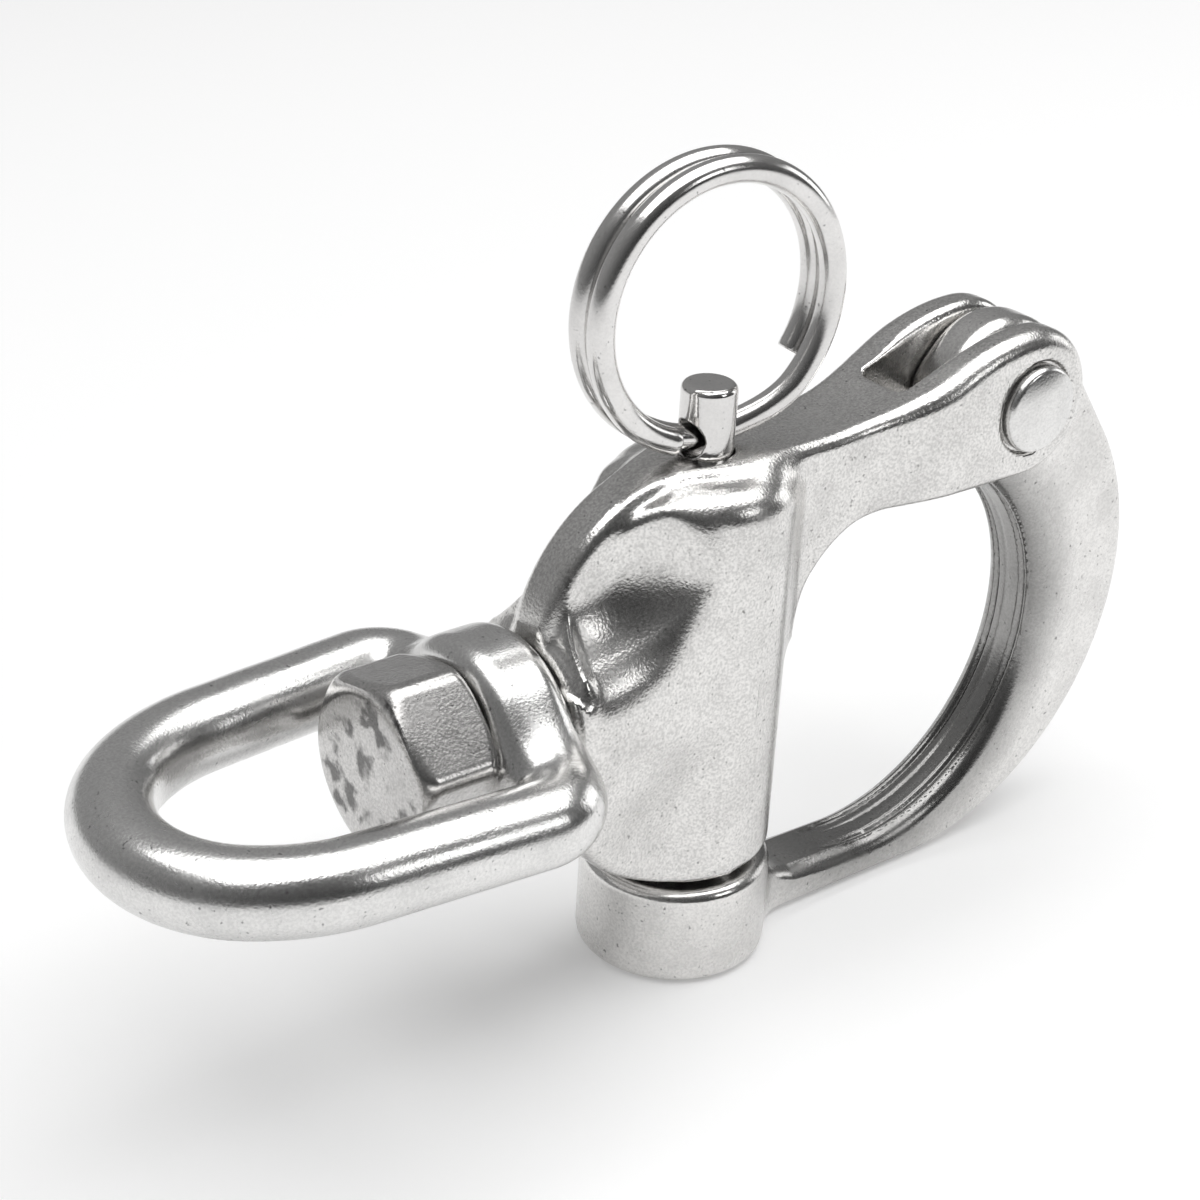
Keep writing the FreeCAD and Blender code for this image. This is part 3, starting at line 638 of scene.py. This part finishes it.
def steel(name, tone, shine, grain, pits=0.2, waves=0.07, worn=0.12, end_face=None, throat=False):
    """Stainless steel: sparkling fine grain, pits, slow waviness, duller patches and worn edges."""
    material = bpy.data.materials.new(name)
    nodes, links = nodes_of(material)
    out = nodes.new("ShaderNodeOutputMaterial")
    shader = nodes.new("ShaderNodeBsdfPrincipled")
    links.new(shader.outputs["BSDF"], out.inputs["Surface"])
    shader.inputs["Metallic"].default_value = 1.0
    where = nodes.new("ShaderNodeTexCoord")

    cloud = noise(nodes, links, where, scale=260.0, detail=6.0)
    grit = noise(nodes, links, where, scale=5200.0, detail=1.0)
    speck = noise(nodes, links, where, scale=2600.0, detail=3.0)
    stained = [c * (1.0 - STAIN) for c in tone]
    base = ramp(nodes, links, cloud.outputs["Fac"], 0.35, 0.6, stained, tone)
    dots = ramp(nodes, links, grit.outputs["Fac"], 0.35, 0.65, [1.0 - pits] * 3, [1.0] * 3)
    holes = ramp(nodes, links, speck.outputs["Fac"], 0.27, 0.33, [0.45] * 3, [1.0] * 3)
    colour = times(nodes, links, base.outputs["Color"], dots.outputs["Color"])
    colour = times(nodes, links, colour, holes.outputs["Color"])
    if end_face is not None:
        colour = end_blots(nodes, links, where, colour, end_face)
    # Painted shade: with throat set, the colour is darkened inside the gate's round throat.
    if throat:
        colour = painted_throat_shade(nodes, links, where, colour)
    links.new(colour, shader.inputs["Base Color"])
    links.new(worn_roughness(nodes, links, cloud, shine, worn), shader.inputs["Roughness"])

    slow = noise(nodes, links, where, scale=420.0)
    fine = bump(nodes, links, grit.outputs["Fac"], grain, 0.00003)
    pocks = bump(nodes, links, holes.outputs["Color"], 0.5 * pits, 0.00004, fine)
    waved = bump(nodes, links, slow.outputs["Fac"], waves, 0.00006, pocks)
    links.new(waved.outputs["Normal"], shader.inputs["Normal"])
    return material


CAST = steel("cast_steel", CAST_TONE, 0.24, 0.6, pits=0.24)
# The gate's material has painted shade darkening its throat.
CAST_GATE = steel("cast_steel_gate", CAST_TONE, 0.25, 0.35, pits=0.14, throat=True)
FORGED = steel("forged_steel", (0.79, 0.785, 0.775), 0.24, 0.35, pits=0.12)
BOLT = steel("bolt_steel", (0.64, 0.63, 0.62), 0.25, 0.3, pits=0.2, end_face=BOLT_FACE)
TURNED = steel("turned_steel", (0.74, 0.73, 0.72), 0.14, 0.12, pits=0.05, worn=0.05)
WIRE = steel("drawn_wire", (0.76, 0.75, 0.74), 0.17, 0.12, pits=0.06, waves=0.12, worn=0.0)
SPRING = steel("spring_steel", (0.62, 0.62, 0.62), 0.3, 0.2, pits=0.1, worn=0.0)

# The eye is turned a little about its bolt, as in the photograph.
ROLL = Matrix.Rotation(math.radians(2.4), 3, "X")
# Name, field, the corners of the space searched, the grid's step, a turn, node, body, slot, material.
PIECES = [
    ("casting_surface", casting_field, (TAIL, -6.6, COLUMN_FOOT), (72.4, 6.6, 20.7), 0.24, None,
     "casting", "casting", "cast_body", CAST),
    ("gate_surface", gate_field, (33.5, -6.9, GATE_FOOT), (82.0, 6.9, 20.6), 0.24, None,
     "gate", "gate", "cast_gate", CAST_GATE),
    ("swivel_eye_surface", eye_field, (-5.7, -15.5, -7.1), (26.0, 15.5, 7.1), 0.24, ROLL,
     "swivel_eye", "eye", "eye", FORGED),
    ("swivel_bolt_surface", bolt_field, (13.8, -6.9, -6.9), (34.3, 6.9, 6.9), 0.2, None,
     "swivel_bolt", "casting", "bolt", BOLT),
    ("plunger_surface", plunger_field, (37.2, -3.2, -18.3), (43.6, 3.2, 20.9), 0.15, None,
     "plunger", "plunger", "plunger", TURNED),
    ("hinge_rivet_surface", rivet_field, (63.3, -6.5, 11.6), (70.1, 6.5, 18.4), 0.12, None,
     "hinge_rivet", "casting", "rivet", FORGED),
]
for name, field, low, high, step, turn, node, body, slot, material in PIECES:
    item = piece(name, field, low, high, step, turn)
    item.data.materials.append(material)
    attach(item, body)
    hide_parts(node)
ring = ring_piece()
ring.data.materials.append(WIRE)
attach(ring, "ring")
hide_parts("split_ring")
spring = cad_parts["plunger_spring"]
spring.data.materials.clear()
spring.data.materials.append(SPRING)


# ---------------------------------------------------------------- floor, light and camera, in metres
def floor():
    """Plain pale floor: matt, and the same all over and to every ray."""
    mesh = bpy.data.meshes.new("floor")
    side = 4.0
    corners = [(-side, -side, 0), (side, -side, 0), (side, side, 0), (-side, side, 0)]
    mesh.from_pydata(corners, [], [(0, 1, 2, 3)])
    item = bpy.data.objects.new("floor", mesh)
    item.location.z = (GATE_FOOT - 0.02) * MM
    bpy.context.scene.collection.objects.link(item)
    material = bpy.data.materials.new("pale_floor")
    nodes, links = nodes_of(material)
    out = nodes.new("ShaderNodeOutputMaterial")
    surface = nodes.new("ShaderNodeBsdfPrincipled")
    surface.inputs["Base Color"].default_value = (0.85, 0.85, 0.85, 1.0)
    surface.inputs["Roughness"].default_value = 1.0
    surface.inputs["Specular IOR Level"].default_value = 0.0
    surface.inputs["Emission Color"].default_value = (1.0, 1.0, 1.0, 1.0)
    surface.inputs["Emission Strength"].default_value = 0.22
    links.new(surface.outputs["BSDF"], out.inputs["Surface"])
    mesh.materials.append(material)


def panel(name, place, aim, size, glow):
    """A soft rectangular light whose face is glow times as bright as white paper."""
    data = bpy.data.lights.new(name, "AREA")
    data.shape = "RECTANGLE"
    data.size = size[0]
    data.size_y = size[1]
    data.energy = glow * size[0] * size[1] * math.pi
    item = bpy.data.objects.new(name, data)
    item.location = place
    item.rotation_mode = "QUATERNION"
    item.rotation_quaternion = (Vector(aim) - Vector(place)).to_track_quat("-Z", "Y")
    bpy.context.scene.collection.objects.link(item)


def surroundings():
    """A grey room, darkest in front of the part and lighter behind and above it."""
    world = bpy.data.worlds.new("studio")
    bpy.context.scene.world = world
    nodes, links = nodes_of(world)
    out = nodes.new("ShaderNodeOutputWorld")
    room = nodes.new("ShaderNodeBackground")
    links.new(room.outputs["Background"], out.inputs["Surface"])
    where = nodes.new("ShaderNodeTexCoord")
    facing = nodes.new("ShaderNodeVectorMath")
    facing.operation = "DOT_PRODUCT"
    facing.inputs[1].default_value = (-0.1, 0.85, 0.5)
    links.new(where.outputs["Generated"], facing.inputs[0])
    turned = spread(nodes, links, facing.outputs["Value"], (-1.0, 1.0), 0.0, 1.0)
    shades = ramp(nodes, links, turned, 0.1, 0.95, [0.03] * 3, [0.3] * 3)
    links.new(shades.outputs["Color"], room.inputs["Color"])


floor()
surroundings()
centre = (0.038, 0.0, 0.0)
panel("overhead", (0.12, -0.05, 0.6), (0.12, -0.05, 0.0), (0.9, 0.62), 2.35)
panel("right_side", (0.7, -0.1, 0.17), centre, (0.3, 0.3), 1.6)
panel("front_right", (0.26, -0.48, 0.28), centre, (0.16, 0.16), 2.6)

camera_data = bpy.data.cameras.new("camera")
camera = bpy.data.objects.new("camera", camera_data)
bpy.context.scene.collection.objects.link(camera)
right = Vector((0.7903, -0.6109, 0.0483))
up = Vector((0.2507, 0.3943, 0.8841))
back = right.cross(up)
turn = Matrix((right, up, back)).transposed().to_4x4()
place = Vector((-61.9, -114.0, 83.4)) * MM
camera.matrix_world = Matrix.Translation(place) @ turn
camera_data.lens = 76.03
camera_data.sensor_width = 36.0
camera_data.shift_x = 0.0132
camera_data.shift_y = 0.0138
camera_data.clip_start = 0.005
camera_data.clip_end = 20.0
bpy.context.scene.camera = camera
bpy.context.scene.view_settings.view_transform = "Standard"
